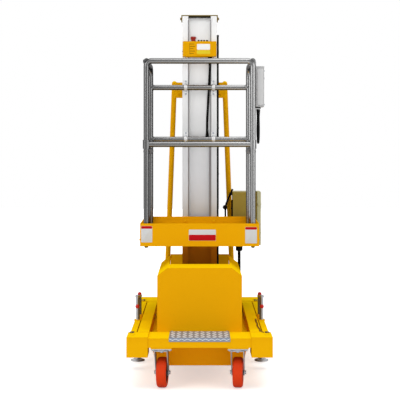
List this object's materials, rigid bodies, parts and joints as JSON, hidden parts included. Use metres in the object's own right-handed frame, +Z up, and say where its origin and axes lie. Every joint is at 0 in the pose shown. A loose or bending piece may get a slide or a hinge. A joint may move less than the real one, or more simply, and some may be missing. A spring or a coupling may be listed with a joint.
{
  "type": "vertical mast lift",
  "caption": "Wheeled single-mast aerial work platform: nested aluminium mast, guard-railed basket, hooded chassis and folding outrigger arms with screw jacks.",
  "frame": {"origin": "on the floor under the middle of the overall box", "axes": "+X to the right seen from the front, +Y from the front (basket and caster end) to the rear (mast end), +Z up"},
  "size_m": [0.74, 1.37, 1.958],
  "materials": {
    "yellow_paint": "gloss",
    "mast_aluminium": "brushed",
    "checker_aluminium": "checkered",
    "rail_steel": "polished",
    "zinc_steel": "zinc plated",
    "wheel_red": "satin polyurethane",
    "hub_dark": "matt",
    "box_olive": "satin",
    "junction_grey": "satin",
    "black_rubber": "matt",
    "black_plastic": "matt",
    "red_plastic": "gloss",
    "power_black": "matt"
  },
  "bodies": {
    "base": {"chassis_frame": "yellow_paint", "front_deck": "yellow_paint", "front_housings": "yellow_paint", "rear_housings": "yellow_paint", "step_plate": "checker_aluminium", "hood": "yellow_paint", "power_unit": "power_black", "underbody_tray": "yellow_paint", "caster_plates": "zinc_steel", "rear_wheel_brackets": "zinc_steel", "lock_pins": "zinc_steel", "mast_fixed_section": "mast_aluminium", "mast_foot": "yellow_paint", "struts": "yellow_paint", "electrical_box": "box_olive", "box_glands": "black_plastic", "box_conduit": "black_rubber"},
    "box_lid": {"electrical_box_lid": "box_olive"},
    "mast_second": {"mast_second_section": "mast_aluminium"},
    "mast_third": {"mast_third_section": "mast_aluminium"},
    "mast_fourth": {"mast_fourth_section": "mast_aluminium"},
    "basket": {"mast_front_section": "mast_aluminium", "mast_cap": "yellow_paint", "platform": "yellow_paint", "front_hoop": "rail_steel", "side_rails": "rail_steel", "rear_bars": "rail_steel", "rail_clamps": "zinc_steel", "control_box": "yellow_paint", "emergency_stop": "red_plastic", "control_buttons": "black_plastic", "junction_box": "junction_grey", "junction_cable": "black_rubber", "control_cable": "black_rubber", "cable_glands": "black_plastic", "mast_cable": "black_rubber"},
    "entry_bar": {"entry_bar": "rail_steel"},
    "caster_left": {"caster_left_fork": "zinc_steel"},
    "caster_left_wheel": {"caster_left_hub": "hub_dark", "caster_left_tyre": "wheel_red"},
    "rear_left_wheel": {"rear_left_hub": "hub_dark", "rear_left_tyre": "wheel_red"},
    "caster_right": {"caster_right_fork": "zinc_steel"},
    "caster_right_wheel": {"caster_right_hub": "hub_dark", "caster_right_tyre": "wheel_red"},
    "rear_right_wheel": {"rear_right_hub": "hub_dark", "rear_right_tyre": "wheel_red"},
    "arm_front_left": {"arm_front_left": "yellow_paint"},
    "jack_front_left": {"jack_front_left": "zinc_steel", "crank_front_left": "red_plastic"},
    "arm_front_right": {"arm_front_right": "yellow_paint"},
    "jack_front_right": {"jack_front_right": "zinc_steel", "crank_front_right": "red_plastic"},
    "arm_rear_left": {"arm_rear_left": "yellow_paint"},
    "jack_rear_left": {"jack_rear_left": "zinc_steel", "crank_rear_left": "red_plastic"},
    "arm_rear_right": {"arm_rear_right": "yellow_paint"},
    "jack_rear_right": {"jack_rear_right": "zinc_steel", "crank_rear_right": "red_plastic"}
  },
  "joints": [
    {"name": "mast_lift", "type": "slide", "parent": "base", "child": "mast_second", "axis": [0, 0, 1], "range_m": [0, 1.35]},
    {"name": "mast_third_lift", "type": "slide", "parent": "mast_second", "child": "mast_third", "axis": [0, 0, 1], "range_m": [0, 1.35]},
    {"name": "mast_fourth_lift", "type": "slide", "parent": "mast_third", "child": "mast_fourth", "axis": [0, 0, 1], "range_m": [0, 1.35]},
    {"name": "basket_lift", "type": "slide", "parent": "mast_fourth", "child": "basket", "axis": [0, 0, 1], "range_m": [0, 1.35]},
    {"name": "entry_bar_slide", "type": "slide", "parent": "basket", "child": "entry_bar", "axis": [0, 0, 1], "range_m": [0, 0.37]},
    {"name": "box_lid_hinge", "type": "hinge", "parent": "base", "child": "box_lid", "pos_m": [0.336, 0.507, 0.773], "axis": [0, 0, 1], "range_deg": [0, 110]},
    {"name": "caster_left_swivel", "type": "hinge", "parent": "base", "child": "caster_left", "pos_m": [-0.188, -0.635, 0.19], "axis": [0, 0, 1], "continuous": true},
    {"name": "caster_left_roll", "type": "hinge", "parent": "caster_left", "child": "caster_left_wheel", "pos_m": [-0.18486, -0.59914, 0.075], "axis": [0.9962, -0.0872, 0], "continuous": true},
    {"name": "rear_left_roll", "type": "hinge", "parent": "base", "child": "rear_left_wheel", "pos_m": [-0.188, 0.605, 0.075], "axis": [1, 0, 0], "continuous": true},
    {"name": "caster_right_swivel", "type": "hinge", "parent": "base", "child": "caster_right", "pos_m": [0.188, -0.635, 0.19], "axis": [0, 0, 1], "continuous": true},
    {"name": "caster_right_roll", "type": "hinge", "parent": "caster_right", "child": "caster_right_wheel", "pos_m": [0.19114, -0.59914, 0.075], "axis": [0.9962, -0.0872, 0], "continuous": true},
    {"name": "rear_right_roll", "type": "hinge", "parent": "base", "child": "rear_right_wheel", "pos_m": [0.188, 0.605, 0.075], "axis": [1, 0, 0], "continuous": true},
    {"name": "arm_front_left_swing", "type": "hinge", "parent": "base", "child": "arm_front_left", "pos_m": [-0.3325, -0.61, 0.2135], "axis": [0, 0, 1], "range_deg": [0, 90]},
    {"name": "jack_front_left_screw", "type": "slide", "parent": "arm_front_left", "child": "jack_front_left", "axis": [0, 0, -1], "range_m": [-0.105, 0.062]},
    {"name": "arm_front_right_swing", "type": "hinge", "parent": "base", "child": "arm_front_right", "pos_m": [0.3325, -0.61, 0.2135], "axis": [0, 0, -1], "range_deg": [0, 90]},
    {"name": "jack_front_right_screw", "type": "slide", "parent": "arm_front_right", "child": "jack_front_right", "axis": [0, 0, -1], "range_m": [-0.105, 0.062]},
    {"name": "arm_rear_left_swing", "type": "hinge", "parent": "base", "child": "arm_rear_left", "pos_m": [-0.3325, 0.575, 0.2135], "axis": [0, 0, -1], "range_deg": [0, 90]},
    {"name": "jack_rear_left_screw", "type": "slide", "parent": "arm_rear_left", "child": "jack_rear_left", "axis": [0, 0, -1], "range_m": [-0.105, 0.07]},
    {"name": "arm_rear_right_swing", "type": "hinge", "parent": "base", "child": "arm_rear_right", "pos_m": [0.3325, 0.575, 0.2135], "axis": [0, 0, 1], "range_deg": [0, 90]},
    {"name": "jack_rear_right_screw", "type": "slide", "parent": "arm_rear_right", "child": "jack_rear_right", "axis": [0, 0, -1], "range_m": [-0.105, 0.07]}
  ],
  "couplings": [
    {"joint": "mast_third_lift", "follows": "mast_lift", "ratio": 1},
    {"joint": "mast_fourth_lift", "follows": "mast_lift", "ratio": 1},
    {"joint": "basket_lift", "follows": "mast_lift", "ratio": 1}
  ]
}
